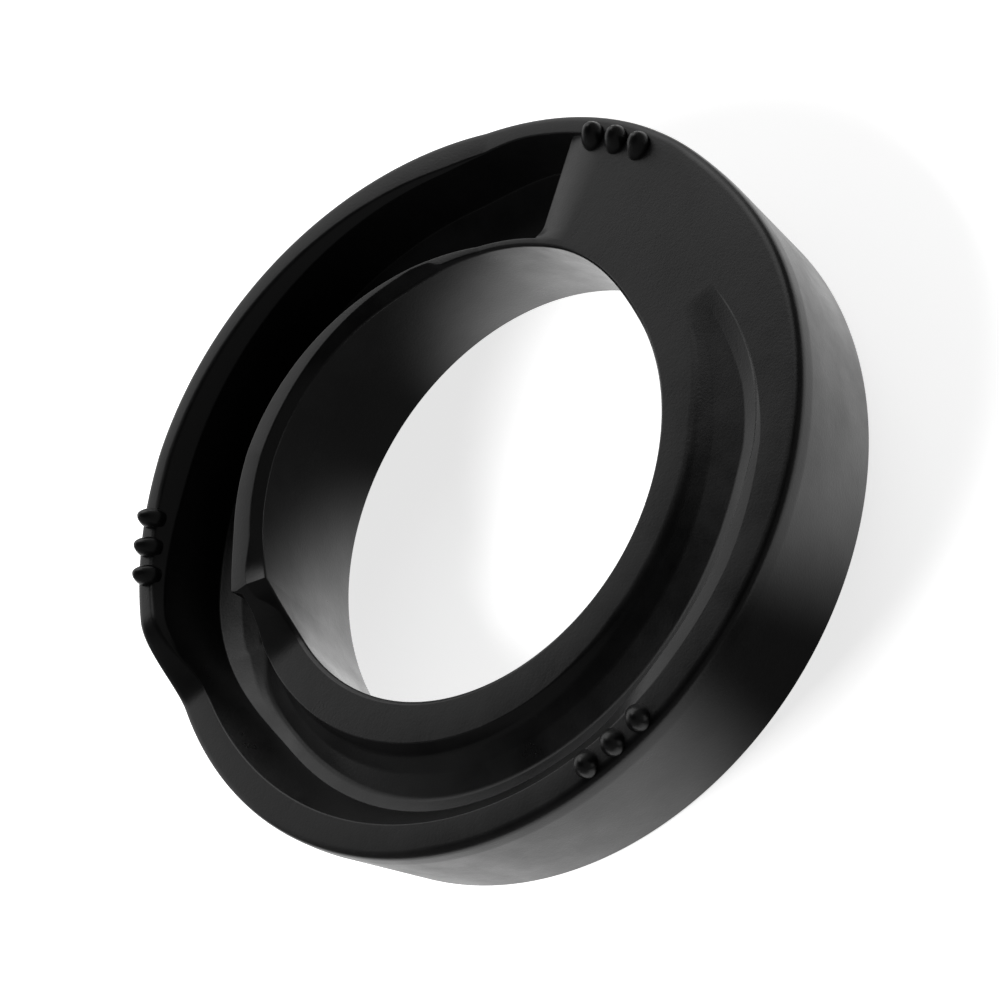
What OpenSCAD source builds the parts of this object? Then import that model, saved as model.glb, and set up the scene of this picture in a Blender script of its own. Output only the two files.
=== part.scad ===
// Coil spring insulator: one moulded rubber ring between a coil spring's end and its seat.
// The flat back lies on z = 0, the ring's axis is Z and the groove for the spring faces +Z.
// Angles are counted from the stop, which stands on +X, in the direction in which the groove rises.

/* [Ring] */
// radius of the outer wall at the back
base_r = 65.4; // [60:0.5:80]
// width of the ring at the back, from the bore to the outer wall
ring_w = 20; // [19:0.1:22]
// height of the flat pad and of the plain rim
pad_z = 25.3; // [22:0.1:32]
// how much wider the outer wall is at the top than at the back, on the radius
flare = 2.5; // [0:0.1:4]
// how much the bore narrows on its way up, in degrees
bore_taper = 10.7; // [5:0.1:12.5]
// rounding of the rim's outer edge
edge = 1.5; // [0.6:0.1:2]
// bevel on the two edges of the back
back_edge = 0.4; // [0.3:0.1:1.5]

/* [Raised rim] */
// height of the raised part over the plain rim
raise = 7.6; // [3:0.1:10]
// angle at which the rim starts to rise
rise_from = 18; // [10:1:30]
// angle at which it has its full height
rise_to = 94; // [70:1:105]
// angle at which the outer rim drops again
drop_from = 123; // [115:1:130]
// angle of that ramp
drop_span = 14; // [8:1:20]

/* [Spring groove] */
// width of the plain rim between the outer wall and the groove
rim_w = 5.9; // [5:0.1:7]
// width of the flat between the bore and the groove, on the side away from the stop
lip_w = 7.7; // [6.8:0.1:8.5]
// height of the groove's floor at the stop
floor_z = 10.5; // [7:0.1:14]
// angle at which the groove has run out
groove_end = 312; // [290:1:325]
// how far the pad's surface rolls down at the stop
stop_round = 1.3; // [0.5:0.1:3]

/* [Nubs] */
// diameter of a nub
nub_d = 3.9; // [2:0.1:4.4]
// height of a nub over the rim
nub_h = 2.8; // [1:0.1:3]
// angle between two nubs of a group
nub_pitch = 5; // [4.5:0.1:7]
// angle of the middle nub of the first group
nub_at = 110.7; // [104:0.1:114]
// number of groups
nub_groups = 3; // [1:1:3]

/* [Hidden] */
$fn = 96;
rim_r = base_r + flare;
bore_r = base_r - ring_w;
top_z = pad_z + raise + 4;
groove_out_r = rim_r - rim_w;
groove_in_r = bore_at(pad_z) + lip_w;
nub_r = (rim_r - edge + groove_out_r) / 2 + 0.4;

function clamp01(x) = min(1, max(0, x));
function ease(x) = let (c = clamp01(x)) c * c * (3 - 2 * c);
function bore_at(z) = bore_r - z * tan(bore_taper);

// share of the full rise: a slow climb, a level stretch and a ramp down
function climb(a) = let (c = clamp01((a - rise_from) / (rise_to - rise_from))) c * (1.6 - 0.6 * c);
function rim_z(a) = pad_z + raise * climb(a) * (1 - ease((a - drop_from) / drop_span));
function raised(a) = (rim_z(a) - pad_z) / raise;

// the lip between bore and groove ends in a skew ramp, shorter at the groove than at the bore
function lip_z(a, span) = pad_z + raise * climb(a) * pow(1 - clamp01((a - drop_from - 6) / span), 1.4);

// the groove is wider near the stop, and under the pad its edges come back to that width
function near_stop(a) = max(1 - ease((a - 8) / 20), ease((a - 316) / 24));
function run_out(a) =
    a > 328 ? 0 : 0.9 * ease((a - 258) / 24) + 5.8 * pow(clamp01((a - 280) / 32), 1.2);
function out_r(a) = groove_out_r + 2.3 * near_stop(a) - run_out(a) * (1 - near_stop(a));
function in_r(a) =
    groove_in_r - 4.1 * (1 - ease((a - 112) / 34)) + 0.65 * clamp01((a - 10) / 92) * (1 - ease((a - 112) / 34))
    - 1.1 * ease((a - 200) / 60) + 1.6 * ease((a - 285) / 27) - 4.6 * ease((a - 316) / 24);
function crease_r(a) =
    out_r(a) - 0.7 - 2.5 * ease((a - 140) / 35) + 2.8 * clamp01((a - 268) / 40);
function low_at(a) = 0.44 + 0.16 * ease((a - 145) / 45);
function depth(a) = (pad_z - floor_z) * max(0, 1 - a / groove_end);

// how far the pad's surface rolls down towards the stop's edge
function roll(a) = stop_round * pow(clamp01((a - 351.5) / 7.8), 2);

// how far the raised rim's inner slope is cut short before its ramp
function keen(a) = ease((a - 95) / 30) * (1 - ease((a - 128) / 12));

// the section that is cut away over the ring at angle a, from outside to inside
function section(a) =
    let (t = rim_z(a), s = raised(a), o = out_r(a), i = in_r(a), c = crease_r(a), d = depth(a))
    let (l = lip_z(a, 14), b = lip_z(a, 16), top = pad_z - roll(a), live = clamp01(d / 0.8))
    let (low = i + (o - i) * low_at(a), g = low - i, soft = ease((a - 200) / 60))
    let (rise = min(1.9 - 0.6 * ease((a - 140) / 35), 0.6 * d))
    let (bevel = 0.5 + 0.3 * soft + 1.5 * s)
    let (wide = ease((a - 27) / 4) * (1 - ease((a - 29) / 60)) + ease((a - 116) / 14))
    let (land = min(bore_at(b) + 0.9 + 0.8 * s + 2.3 * wide * min(1, 3 * s), i - 0.6))
    let (foot = bore_at(b - bevel), clear = bore_at(top_z) - 1)
    [
        [rim_r + 4, t - edge - 9.6],
        [rim_r - 0.3 * edge, t - 0.3 * edge],
        [rim_r - edge, t],
        [o + 0.3 + min(2.1, rim_r - edge - o - 0.8) * s, t],
        [o + keen(a), t - 0.15 * live - (3.5 - 2 * keen(a)) * s - 0.5 * roll(a)],
        [c, top - d + rise],
        [(c + low) / 2, top - d + 0.35 * rise],
        [low, top - d],
        [i + 0.3 * g, top - d + min(1.2, 0.28 * d)],
        [i + min(0.3 + 1.7 * soft, 0.2 * g), top - d * 0.52],
        [i, l - 0.3 * live - 0.5 * roll(a)],
        [i - 0.3, l],
        [land, b],
        [clear, b - bevel * (1 + (foot - clear) / (land - foot))],
        [clear, top_z],
        [rim_r + 4, top_z]
    ];

angles = concat([for (a = [0:4:352]) a], [354.5, 357, 359.3]);
sections = [for (a = angles) section(a)];
n = len(sections[0]);
m = len(angles);

module over_ring() {
    points = [for (j = [0:m - 1]) for (p = sections[j])
        [p[0] * cos(angles[j]), p[0] * sin(angles[j]), p[1]]];
    faces = [for (j = [0:m - 1]) for (k = [0:n - 1])
        let (j2 = (j + 1) % m, k2 = (k + 1) % n)
        each [[j * n + k, j2 * n + k2, j * n + k2], [j * n + k, j2 * n + k, j2 * n + k2]]];
    polyhedron(points = points, faces = faces);
}

module blank() {
    rotate_extrude()
        polygon([
            [bore_at(back_edge), back_edge],
            [bore_r + back_edge, 0],
            [base_r - back_edge, 0],
            [base_r + flare * back_edge / (pad_z - 3.5), back_edge],
            [rim_r, pad_z - 3.5],
            [rim_r, top_z - 1],
            [bore_at(top_z - 1), top_z - 1]
        ]);
}

module nub(a) {
    rotate(a)
        translate([nub_r, 0, min(rim_z(a - 2), rim_z(a + 2)) - 1.5]) {
            cylinder(h = 1.5 + nub_h * 0.2, d = nub_d);
            translate([0, 0, 1.5 + nub_h * 0.2])
                cylinder(h = nub_h * 0.5, d1 = nub_d, d2 = nub_d * 0.62);
            translate([0, 0, 1.5 + nub_h * 0.7])
                cylinder(h = nub_h * 0.3, d1 = nub_d * 0.62, d2 = nub_d * 0.2);
        }
}

module spring_insulator() {
    color([0.02, 0.02, 0.021])
        union() {
            difference() {
                blank();
                over_ring();
            }
            for (g = [0:nub_groups - 1])
                for (k = [-1:1])
                    nub((nub_at + 120 * g + nub_pitch * k) % 360);
        }
}

spring_insulator();
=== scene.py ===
"""Coil spring insulator: the moulded ring with its groove, stop, raised rim and nubs, and its stage."""
import math

import bpy
from bpy.props import FloatProperty, IntProperty, PointerProperty
from bpy.types import Operator, Panel, PropertyGroup
from mathutils import Matrix, Vector


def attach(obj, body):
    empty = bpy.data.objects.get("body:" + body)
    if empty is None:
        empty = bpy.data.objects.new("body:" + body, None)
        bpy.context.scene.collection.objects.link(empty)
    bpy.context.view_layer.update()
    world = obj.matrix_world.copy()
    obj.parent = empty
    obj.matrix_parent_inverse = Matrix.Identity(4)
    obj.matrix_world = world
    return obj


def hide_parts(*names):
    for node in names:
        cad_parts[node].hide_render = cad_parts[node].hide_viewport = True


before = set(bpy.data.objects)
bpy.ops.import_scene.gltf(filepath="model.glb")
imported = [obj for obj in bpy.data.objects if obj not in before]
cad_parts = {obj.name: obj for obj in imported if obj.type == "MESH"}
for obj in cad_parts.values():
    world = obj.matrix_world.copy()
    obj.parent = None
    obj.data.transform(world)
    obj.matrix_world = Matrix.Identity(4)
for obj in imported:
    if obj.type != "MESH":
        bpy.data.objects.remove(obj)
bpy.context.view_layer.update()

bl_info = {
    "name": "Coil Spring Insulator",
    "version": (1, 0, 0),
    "blender": (4, 5, 0),
    "location": "View3D > Sidebar > Insulator",
    "description": "Builds a moulded rubber ring that seats the end of a coil spring",
    "category": "Object",
}

MM = 0.001
NODE = "spring_insulator"


# Sizes and colours

class RingSizes(PropertyGroup):
    """Sizes of the moulded ring, in millimetres and degrees, the same as those of the solid model"""
    base_r: FloatProperty(name="Back radius", description="Radius of the outer wall at the back",
        default=65.4)
    ring_w: FloatProperty(name="Ring width", description="From the bore to the outer wall at the back",
        default=20.0)
    pad_z: FloatProperty(name="Pad height", description="Height of the flat pad and the plain rim",
        default=25.3)
    flare: FloatProperty(name="Flare", description="How much the outer wall widens on its way up",
        default=2.5)
    bore_taper: FloatProperty(name="Bore taper", description="Slope of the bore's wall", default=10.7)
    edge: FloatProperty(name="Edge rounding", description="Rounding of the rim's outer edge", default=1.5)
    lift: FloatProperty(name="Raise", description="Height of the raised rim over the plain rim",
        default=7.6)
    rise_from: FloatProperty(name="Rise from", description="Angle at which the rim starts to rise",
        default=18.0)
    rise_to: FloatProperty(name="Rise to", description="Angle at which the rim is at full height",
        default=94.0)
    drop_from: FloatProperty(name="Drop from", description="Angle at which the outer rim drops",
        default=123.0)
    drop_span: FloatProperty(name="Drop span", description="Angle of the ramp down", default=14.0)
    rim_w: FloatProperty(name="Rim width", description="From the outer wall to the groove", default=5.9)
    lip_w: FloatProperty(name="Lip width", description="From the bore to the groove", default=7.7)
    floor_z: FloatProperty(name="Groove floor", description="Height of the floor at the stop", default=10.5)
    groove_end: FloatProperty(name="Groove end", description="Angle at which the groove has run out",
        default=312.0)
    stop_round: FloatProperty(name="Stop rounding", description="How far the pad rolls down at the stop",
        default=1.3)
    nub_d: FloatProperty(name="Nub diameter", description="Diameter of a nub", default=3.9)
    nub_h: FloatProperty(name="Nub height", description="Height of a nub over the rim", default=2.8)
    nub_pitch: FloatProperty(name="Nub pitch", description="Angle between two nubs of a group", default=5.0)
    nub_at: FloatProperty(name="Nub angle", description="Angle of the first group's middle nub",
        default=110.7)
    steps: IntProperty(name="Steps", description="Sections around the ring", default=480)


class StageSettings(PropertyGroup):
    """Camera, light and floor"""
    lift: FloatProperty(name="Camera elevation", description="In degrees", default=45.367)
    roll: FloatProperty(name="Camera roll", description="In degrees", default=-58.839)
    turn: FloatProperty(name="Ring turn", description="Angle from the fitted frame to the ring's own",
        default=-17.8)
    unit: FloatProperty(name="Unit", description="Radius that the camera was fitted to",
        unit="LENGTH", default=0.065)
    distance: FloatProperty(name="Distance", description="Camera distance", unit="LENGTH", default=0.52)
    light: FloatProperty(name="Light", description="Brightness of the studio", default=1.14)
    lamp: FloatProperty(name="Softbox", description="Power of the softbox", unit="POWER", default=10.0)
    cards: FloatProperty(name="Cards", description="Level of the floor's cards in the gloss", default=1.25)
    focal_px: FloatProperty(name="Focal length", description="In pixels of a 1000 pixel frame",
        default=2946.8)


def clamp01(x):
    return min(1.0, max(0.0, x))


def ease(x):
    c = clamp01(x)
    return c * c * (3 - 2 * c)


def ramp(a, start, span):
    """Smooth change from 0 to 1 over a span of angles"""
    return ease((a - start) / span)


def mix(first, last, share):
    return first * (1 - share) + last * share


def heading(degrees):
    """Level unit vector at an angle"""
    angle = math.radians(degrees)
    return Vector((math.cos(angle), math.sin(angle), 0))


# Sections of the ring

# How far on the stop stands, in degrees, and where the rim is a little flatter than a circle
STOP_SHIFT = 1.1
FLAT_SPOT_AT, FLAT_SPOT_SPAN, FLAT_SPOT_DEPTH = 328, 14, 0.7


class Ring:
    """The ring's section at any angle, counted in degrees from the stop"""

    def __init__(self, s):
        self.s = s
        self.rim_r = s.base_r + s.flare
        self.bore_r = s.base_r - s.ring_w
        self.groove_out_r = self.rim_r - s.rim_w
        self.groove_in_r = self.bore_at(s.pad_z) + s.lip_w
        self.nub_r = (self.rim_r - s.edge + self.groove_out_r) / 2 + 0.4

    def bore_at(self, z):
        return self.bore_r - z * math.tan(math.radians(self.s.bore_taper))

    def climb(self, a):
        """Share of the full rise, quick at first and slower later"""
        c = clamp01((a - self.s.rise_from) / (self.s.rise_to - self.s.rise_from))
        return c * (1.6 - 0.6 * c)

    def rim_z(self, a):
        s = self.s
        return s.pad_z + s.lift * self.climb(a) * (1 - ramp(a, s.drop_from, s.drop_span))

    def lip_z(self, a, span):
        """Height of the inner lip, which ends in a ramp of its own"""
        s = self.s
        return s.pad_z + s.lift * self.climb(a) * (1 - clamp01((a - s.drop_from - 6) / span)) ** 1.8

    def near_stop(self, a):
        return max(1 - ramp(a, 8, 20), ramp(a, 316, 24))

    def out_r(self, a):
        """Outer edge of the groove: wider near the stop, drawn in where the groove runs out"""
        gone = 0.9 * ramp(a, 258, 24) + 5.8 * clamp01((a - 280) / 32) ** 1.2
        near = self.near_stop(a)
        return self.groove_out_r + 2.3 * near - gone * (1 - near)

    def in_r(self, a):
        """Inner edge of the groove, further in beside the raised rim and again near the stop"""
        first = 1 - ramp(a, 112, 34)
        lip_end = ramp(a, 128.3, 1.4) * (1 - ramp(a, 131, 10))
        return (self.groove_in_r - 4.1 * first + 0.65 * clamp01((a - 10) / 92) * first
                - 1.1 * ramp(a, 200, 60) + 1.6 * ramp(a, 285, 27) - 4.6 * ramp(a, 316, 24)
                - 1.8 * lip_end)

    def crease_r(self, a):
        """Foot of the groove's outer slope"""
        past = ramp(a, 145, 55)
        inwards = 0.7 + 4.6 * ramp(a, 116, 40) * (1 - past) + 2.64 * past
        back = 0.2 * ramp(a, 215, 40) + 2.9 * ramp(a, 258, 45)
        return self.out_r(a) - inwards + back

    def keen(self, a):
        """How far the raised rim's inner slope is cut short before its ramp"""
        return ramp(a, 95, 30) * (1 - ramp(a, 128, 12))

    def depth(self, a):
        return (self.s.pad_z - self.s.floor_z) * max(0.0, 1 - a / self.s.groove_end)

    def roll(self, a):
        """How far the pad's surface has gone down towards the stop"""
        return self.s.stop_round * clamp01((a - 351.5) / 8.3) ** 2

    def corners(self, a):
        """Corner points (r, z, fillet) of the closed section at angle a"""
        s = self.s
        a = (a - STOP_SHIFT * max(1 - ramp(a, 0, 25), ramp(a, 335, 25))) % 360
        t, o, i, c, d = self.rim_z(a), self.out_r(a), self.in_r(a), self.crease_r(a), self.depth(a)
        lip, bore_lip = self.lip_z(a, 14), self.lip_z(a, 16)
        roll, keen = self.roll(a), self.keen(a)
        up = (t - s.pad_z) / s.lift
        top = s.pad_z - roll
        floor = top - d

        # The floor is a rounded valley once the rim and the lip have come down
        late, inner, soft, flat = ramp(a, 128, 36), ramp(a, 124, 30), ramp(a, 200, 60), ramp(a, 222, 26)
        low = i + (o - i) * (0.44 + 0.16 * ramp(a, 145, 45))
        g = low - i
        low += (c - 2.4 - low) * late * clamp01(d)
        rise = min(1.9 - 0.6 * ramp(a, 140, 35), 0.6 * d)
        rise += (min(0.85, 0.5 * d) - rise) * late

        # The bore's top edge is wider on either side of the stop
        wider = 1.9 * max(1 - ramp(a, 14, 30), ramp(a, 318, 35))
        bevel = 0.5 + 0.3 * soft * (1 - ramp(a, 318, 35)) + 1.5 * up
        wide = ramp(a, 27, 4) * (1 - ramp(a, 29, 60)) + ramp(a, 116, 14)
        land = self.bore_at(bore_lip) + 0.9 + 0.75 * wider + 0.8 * up + 2.3 * wide * min(1, 3 * up)

        # The slope under the rim, which turns into a band that lies nearly level with the pad
        edge_r = o + keen
        edge_z = t - 0.15 * clamp01(d / 0.8) * (1 - flat) - (3.5 - 2 * keen) * up - 0.1 * roll
        band_r = mix(0.2 * edge_r + 0.8 * c, c + 0.45, flat)
        band_z = mix(0.2 * edge_z + 0.8 * (floor + rise), top - (0.15 + 0.1 * d) * min(1, d), flat)

        off_spot = (a - FLAT_SPOT_AT + 540) % 360 - 180
        rim = self.rim_r - FLAT_SPOT_DEPTH * math.exp(-(off_spot / FLAT_SPOT_SPAN) ** 2)
        return [
            # The back
            (self.bore_r, 0.0, 0.4),
            (s.base_r, 0.0, 0.4),
            # The outer wall and the rim
            (rim, s.pad_z - 3.5, 6.0),
            (rim, t, s.edge * (0.9 + 0.6 * ramp(a, 185, 30) * (1 - ramp(a, 330, 20)))),
            (o + 0.2 + min(2.1, self.rim_r - s.edge - o - 0.8) * up, t, 0.5 + 0.9 * up),
            # The groove, from outside to inside
            (edge_r, edge_z, 0.3 + 1.1 * up),
            (min(band_r, edge_r - 0.1), band_z, 0.3),
            (c, floor + rise, 0.5),
            ((c + low) / 2, floor + (0.35 + 0.15 * late) * rise, 4.0),
            (low, floor, 4.0 - 2.5 * late),
            (i + (0.36 + 0.1 * inner) * g, floor + mix(min(1.3, 0.28 * d), 0.24 * d, inner), 3.0),
            (i + mix(0.3, 0.15 * g, inner), top - d * (0.66 - 0.18 * inner - 0.14 * soft), 2.0 + 3.0 * soft),
            # The inner lip and the bore
            (i - 0.1, lip, 0.35 + 3.6 * ramp(a, 218, 50)),
            (min(land, i - 0.4), bore_lip, 0.5),
            (self.bore_at(bore_lip - bevel) + wider, bore_lip - bevel, 0.6),
        ]


# A fillet's least reach in millimetres, and its largest share of the side it lies on
LEAST_REACH, LARGEST_SHARE = 0.08, 0.48


def rounded(corners, arc=6):
    """Points of a closed section with each corner rounded by its fillet"""
    out = []
    n = len(corners)
    for k in range(n):
        p0, p1, p2 = (Vector(corners[(k + j) % n][:2]) for j in (-1, 0, 1))
        size = corners[k][2]
        u, v = p0 - p1, p2 - p1
        lu, lv = u.length, v.length
        if lu < 1e-6 or lv < 1e-6:
            out += [p1.copy()] * (arc + 1)
            continue
        u, v = u / lu, v / lv
        half = math.acos(max(-1, min(1, u.dot(v)))) / 2
        reach = max(size / max(math.tan(half), 1e-3), LEAST_REACH)
        reach = min(reach, lu * LARGEST_SHARE, lv * LARGEST_SHARE)
        a, b = p1 + u * reach, p1 + v * reach
        for j in range(arc + 1):
            q = j / arc
            out.append(a * (1 - q) ** 2 + p1 * 2 * q * (1 - q) + b * q * q)
    return out


# Materials

class Sock:
    """A shader value that can be used in Python expressions"""

    def __init__(self, tree, link):
        self.tree, self.link = tree, link

    def maths(self, operation, *values):
        return self.tree.node("ShaderNodeMath", {"operation": operation}, list(values))

    def __add__(self, other):
        return self.maths("ADD", self, other)

    def __radd__(self, other):
        return self.maths("ADD", other, self)

    def __sub__(self, other):
        return self.maths("SUBTRACT", self, other)

    def __rsub__(self, other):
        return self.maths("SUBTRACT", other, self)

    def __mul__(self, other):
        return self.maths("MULTIPLY", self, other)

    def __rmul__(self, other):
        return self.maths("MULTIPLY", other, self)


class Tree:
    """Node tree of one material or world"""

    def __init__(self, owner):
        owner.use_nodes = True
        self.nodes, self.links = owner.node_tree.nodes, owner.node_tree.links
        self.nodes.clear()

    def node(self, kind, settings=None, values=None, out=0):
        """Adds a node: settings first, of which stops are a ramp's two, then its sockets' values or links"""
        made = self.nodes.new(kind)
        for key, value in (settings or {}).items():
            if key == "stops":
                for stop, (at, colour) in zip(made.color_ramp.elements, value):
                    stop.position, stop.color = at, colour
            else:
                setattr(made, key, value)
        pairs = values.items() if isinstance(values, dict) else enumerate(values or [])
        for key, value in pairs:
            if isinstance(value, Sock):
                self.links.new(value.link, made.inputs[key])
            else:
                made.inputs[key].default_value = value
        return Sock(self, made.outputs[out]) if len(made.outputs) else made

    def smooth(self, value, start, end, first, last):
        """Smooth change from first to last while the value goes from start to end"""
        return self.node("ShaderNodeMapRange", {"interpolation_type": "SMOOTHSTEP"}, {
            "Value": value, "From Min": start, "From Max": end, "To Min": first, "To Max": last})

    def along(self, vector, direction):
        """How far a vector reaches in a direction"""
        return self.node("ShaderNodeVectorMath", {"operation": "DOT_PRODUCT"}, [vector, direction], out="Value")


def rubber_material():
    """Black moulded rubber with a satin skin, faint mottling and fine grain"""
    material = bpy.data.materials.new("black_rubber")
    t = Tree(material)
    place = t.node("ShaderNodeTexCoord", out="Object")
    cloud = t.node("ShaderNodeTexNoise", values={
        "Vector": place, "Scale": 110.0, "Detail": 8.0, "Roughness": 0.62})
    grain = t.node("ShaderNodeTexNoise", values={"Vector": place, "Scale": 2400.0, "Detail": 3.0})
    dark, light = (0.0025, 0.0025, 0.0026, 1), (0.0045, 0.0045, 0.0046, 1)
    tone = t.node("ShaderNodeValToRGB", {"stops": [(0.3, dark), (0.7, light)]}, [cloud])
    bump = t.node("ShaderNodeBump", values={
        "Strength": 0.2, "Distance": 0.0001, "Height": grain + cloud * 2.5})
    skin = t.node("ShaderNodeBsdfPrincipled", values={
        "Base Color": tone, "Roughness": cloud * 0.3 + 0.18, "Normal": bump, "IOR": 1.45})
    t.node("ShaderNodeOutputMaterial", values={"Surface": skin})
    return material


# Pieces

def mesh_piece(name, points, faces, material):
    mesh = bpy.data.meshes.new(name)
    mesh.from_pydata(points, [], faces)
    mesh.update()
    mesh.shade_smooth()
    mesh.set_sharp_from_angle(angle=math.radians(38))
    mesh.materials.append(material)
    piece = bpy.data.objects.new(name, mesh)
    bpy.context.scene.collection.objects.link(piece)
    return piece


# Extra sections beside the stop, where the floor drops steeply
STOP_ANGLES = [0.95, 1.05, 1.12]


def build_ring(s):
    """The moulding without its nubs: one closed section swept around the axis"""
    ring = Ring(s)
    angles = sorted([360 * j / s.steps for j in range(s.steps)] + STOP_ANGLES)
    rows = [rounded(ring.corners(a)) for a in angles]
    count = len(rows[0])
    points = []
    for a, row in zip(angles, rows):
        out = heading(a)
        points += [(p.x * out.x * MM, p.x * out.y * MM, p.y * MM) for p in row]
    faces = []
    for j in range(len(angles)):
        nxt = (j + 1) % len(angles)
        for k in range(count):
            k2 = (k + 1) % count
            faces.append((j * count + k, nxt * count + k, nxt * count + k2, j * count + k2))
    return mesh_piece("moulded_ring", points, faces, rubber_material())


# Nubs: how deep the foot is sunk in, how far the tip leans outwards, and how much longer than wide they are
NUB_FOOT, NUB_LEAN, NUB_OVAL = 1.2, 0.7, 1.2
# For each group its shift outwards and its scale
NUB_GROUPS = [(0.5, 1.0), (0.0, 1.1), (-0.9, 1.1)]
# Radius and height of a nub's profile as shares of its own
NUB_PROFILE = [(1, 0.05), (0.93, 0.27), (0.79, 0.5), (0.59, 0.74), (0.36, 0.92), (0.14, 0.98)]
NUB_SIDES = 24


def build_nubs(s):
    """Rounded cones on the rim, in groups of three"""
    ring = Ring(s)
    half, high = s.nub_d / 2, s.nub_h
    profile = [(half, -NUB_FOOT)] + [(half * r, high * z) for r, z in NUB_PROFILE]
    up = Vector((0, 0, 1))
    points, faces = [], []
    for group, (shift, scale) in enumerate(NUB_GROUPS):
        for k in (-1, 0, 1):
            a = (s.nub_at + 120 * group + s.nub_pitch * k) % 360
            base = min(ring.rim_z(a - 2), ring.rim_z(a + 2))
            out = heading(a)
            side = up.cross(out)
            foot = out * (ring.nub_r + shift) + up * base
            start = len(points)
            points.append(tuple((foot - up * NUB_FOOT) * MM))
            for r, z in profile:
                centre = foot + out * NUB_LEAN * max(0, z / high) + up * z
                for j in range(NUB_SIDES):
                    q = 2 * math.pi * j / NUB_SIDES
                    spoke = (out * NUB_OVAL * math.cos(q) + side * math.sin(q)) * r * scale
                    points.append(tuple((centre + spoke) * MM))
            points.append(tuple((foot + out * NUB_LEAN + up * high) * MM))
            last = len(points) - 1
            top = last - NUB_SIDES
            for j in range(NUB_SIDES):
                j2 = (j + 1) % NUB_SIDES
                faces.append((start, start + 1 + j2, start + 1 + j))
                for lower in range(start + 1, top, NUB_SIDES):
                    upper = lower + NUB_SIDES
                    faces.append((lower + j, lower + j2, upper + j2, upper + j))
                faces.append((top + j, top + j2, last))
    return mesh_piece("locating_nubs", points, faces, bpy.data.materials["black_rubber"])


class INSULATOR_OT_ring(Operator):
    """Build the moulded ring with its groove, stop and raised rim"""
    bl_idname = "insulator.ring"
    bl_label = "Moulded Ring"

    def execute(self, context):
        piece = build_ring(context.scene.insulator_ring)
        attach(piece, "root")
        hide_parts(NODE)
        return {"FINISHED"}


class INSULATOR_OT_nubs(Operator):
    """Build the three groups of locating nubs on the rim"""
    bl_idname = "insulator.nubs"
    bl_label = "Nubs"

    def execute(self, context):
        piece = build_nubs(context.scene.insulator_ring)
        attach(piece, "root")
        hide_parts(NODE)
        return {"FINISHED"}


# The camera's sideways shift in units, its sensor and its frame
EYE_SHIFT = (-0.1297, 0.0703)
SENSOR_MM, FRAME_PX = 36, 1000


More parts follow.
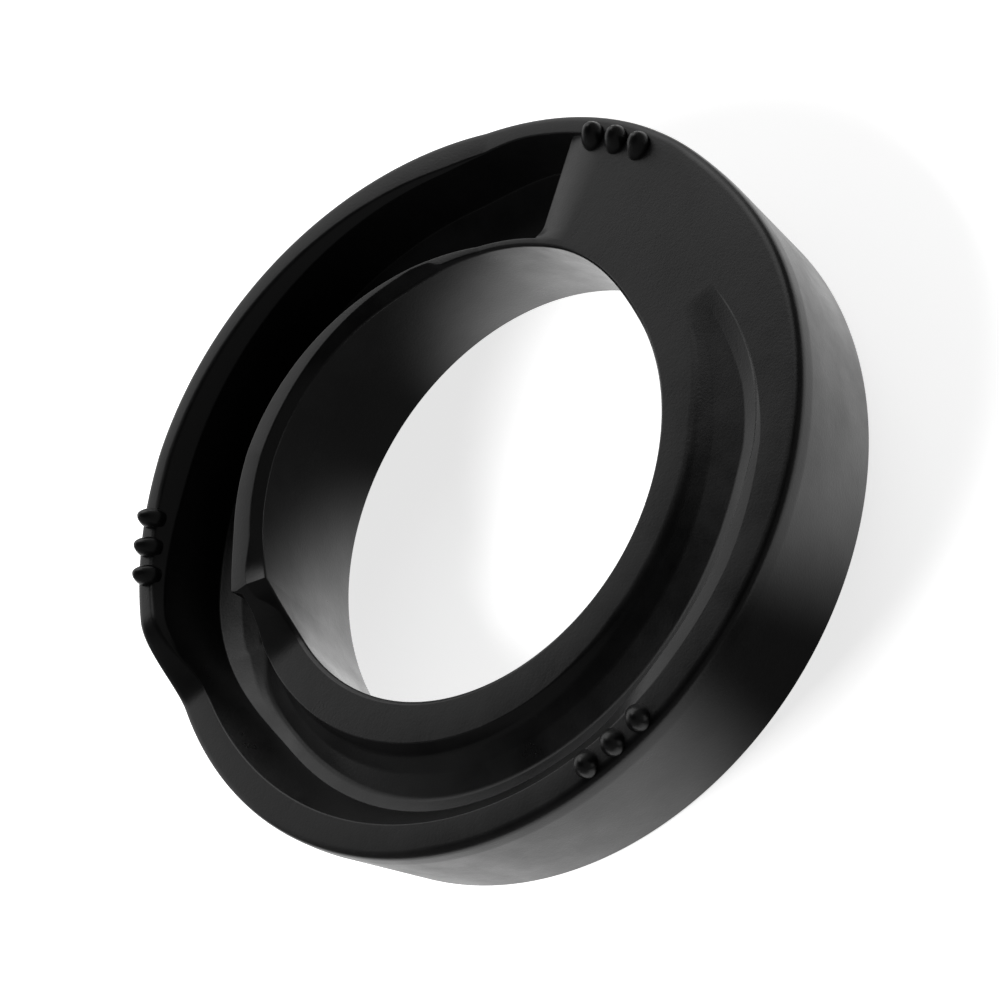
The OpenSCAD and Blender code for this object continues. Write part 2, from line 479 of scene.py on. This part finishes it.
class INSULATOR_OT_stage(Operator):
    """Set the floor, the light and the camera"""
    bl_idname = "insulator.stage"
    bl_label = "Stage"

    def execute(self, context):
        scene = context.scene
        view = scene.insulator_stage
        scene.view_settings.view_transform = "Standard"
        self.floor(view)
        self.world(scene, view)
        self.lamp(scene, view)
        self.camera(scene, view)
        return {"FINISHED"}

    def floor(self, view):
        """A white floor; in the rubber's gloss it glows as painted reflections: two white cards with a dark gap
        on the camera's side, brighter under the bore and fading away from the ring
        """
        half = 3.0
        square = [(-half, -half, 0), (half, -half, 0), (half, half, 0), (-half, half, 0)]
        mesh = bpy.data.meshes.new("floor")
        mesh.from_pydata(square, [], [(0, 1, 2, 3)])
        material = bpy.data.materials.new("floor_white")
        t = Tree(material)
        camera = t.node("ShaderNodeLightPath", out="Is Camera Ray")
        glossy = t.node("ShaderNodeLightPath", out="Is Glossy Ray")
        place = t.node("ShaderNodeTexCoord", out="Object")
        side = t.node("ShaderNodeMath", {"operation": "ABSOLUTE"}, [t.along(place, heading(view.turn))])
        away = t.node("ShaderNodeVectorMath", {"operation": "LENGTH"}, [place], out="Value")
        # Painted reflections: for glossy rays only, the floor glows dark in a strip along the camera's axis,
        # brighter in a disc under the bore and fainter beyond the ring, so the rubber's walls show painted
        # highlights
        cards = t.smooth(side, 0.005, 0.035, 0.07, view.cards)
        near = t.smooth(away, 0.12, 0.22, 1.0, 0.1)
        bore_glow = t.smooth(away, 0.044, 0.062, 1.4, 0.92)
        matt = t.node("ShaderNodeBsdfDiffuse", values={"Color": (0.85, 0.85, 0.85, 1)})
        glow = t.node("ShaderNodeEmission", values={"Color": camera * 0.75, "Strength": 1.0})
        seen = t.node("ShaderNodeAddShader", values=[matt, glow])
        card = t.node("ShaderNodeEmission", values={"Color": cards * near * bore_glow, "Strength": 1.0})
        out = t.node("ShaderNodeMixShader", values=[glossy, seen, card])
        t.node("ShaderNodeOutputMaterial", values={"Surface": out})
        mesh.materials.append(material)
        floor = bpy.data.objects.new("floor", mesh)
        bpy.context.scene.collection.objects.link(floor)
        floor.location.z = -0.0001

    def lamp(self, scene, view):
        """A wide low softbox on the far left that lights the floor and leaves no glare on the rubber"""
        data = bpy.data.lights.new("softbox", "AREA")
        data.shape, data.size, data.size_y, data.energy = "RECTANGLE", 0.5, 0.4, view.lamp
        up = math.radians(40)
        place = heading(155 + view.turn) * math.cos(up) + Vector((0, 0, math.sin(up)))
        lamp = bpy.data.objects.new("softbox", data)
        lamp.location = place
        lamp.rotation_euler = place.to_track_quat("Z", "Y").to_euler()
        lamp.visible_glossy = False
        scene.collection.objects.link(lamp)

    def world(self, scene, view):
        """A studio, dark overhead, bright near the horizon behind the ring, with a softbox on its right"""
        world = bpy.data.worlds.new("studio")
        scene.world = world
        t = Tree(world)
        camera = t.node("ShaderNodeLightPath", out="Is Camera Ray")
        way = t.node("ShaderNodeTexCoord", out="Generated")
        up = t.along(way, (0, 0, 1))
        low = t.smooth(up, 0.64, 0.83, 1.0, 0.05)
        far = t.smooth(t.along(way, heading(78 + view.turn)), 0.46, 0.72, 0.13, 1.0)
        box_way = heading(43 + view.turn) * 0.72 + Vector((0, 0, 0.695))
        box = t.smooth(t.along(way, box_way), 0.925, 0.985, 0.0, 1.3)
        level = low * far * (1 - up * 0.3) * view.light + box
        soft = t.node("ShaderNodeBackground", values={"Color": level, "Strength": 1.0})
        white = t.node("ShaderNodeBackground", values={"Color": (1, 1, 1, 1), "Strength": 1.0})
        out = t.node("ShaderNodeMixShader", values=[camera, soft, white])
        t.node("ShaderNodeOutputWorld", values={"Surface": out})

    def camera(self, scene, view):
        """The camera as fitted, with its own axes right, up and back, turned with the ring"""
        el, roll = math.radians(view.lift), math.radians(view.roll)
        back = Vector((0, -math.cos(el), math.sin(el)))
        level = Vector((1, 0, 0))
        steep = back.cross(level)
        right = math.cos(roll) * level + math.sin(roll) * steep
        up = -math.sin(roll) * level + math.cos(roll) * steep
        pose = Matrix((right, up, back)).transposed().to_4x4()
        shift_right, shift_up = EYE_SHIFT
        pose.translation = (shift_right * right + shift_up * up) * view.unit + view.distance * back
        turn = Matrix.Rotation(math.radians(view.turn), 4, "Z")
        data = bpy.data.cameras.new("camera")
        data.sensor_width = SENSOR_MM
        data.lens = view.focal_px / FRAME_PX * SENSOR_MM
        data.clip_start, data.clip_end = 0.01, 20
        camera = bpy.data.objects.new("camera", data)
        camera.matrix_world = turn @ pose
        scene.collection.objects.link(camera)
        scene.camera = camera


class INSULATOR_PT_panel(Panel):
    bl_label = "Coil Spring Insulator"
    bl_space_type = "VIEW_3D"
    bl_region_type = "UI"
    bl_category = "Insulator"

    def draw(self, context):
        for operator in (INSULATOR_OT_ring, INSULATOR_OT_nubs, INSULATOR_OT_stage):
            self.layout.operator(operator.bl_idname)


CLASSES = (
    RingSizes, StageSettings,
    INSULATOR_OT_ring, INSULATOR_OT_nubs, INSULATOR_OT_stage, INSULATOR_PT_panel,
)


def register():
    for item in CLASSES:
        bpy.utils.register_class(item)
    bpy.types.Scene.insulator_ring = PointerProperty(type=RingSizes)
    bpy.types.Scene.insulator_stage = PointerProperty(type=StageSettings)


def unregister():
    del bpy.types.Scene.insulator_stage
    del bpy.types.Scene.insulator_ring
    for item in reversed(CLASSES):
        bpy.utils.unregister_class(item)


def main():
    register()
    bpy.ops.insulator.ring()
    bpy.ops.insulator.nubs()
    bpy.ops.insulator.stage()


if __name__ == "__main__":
    main()
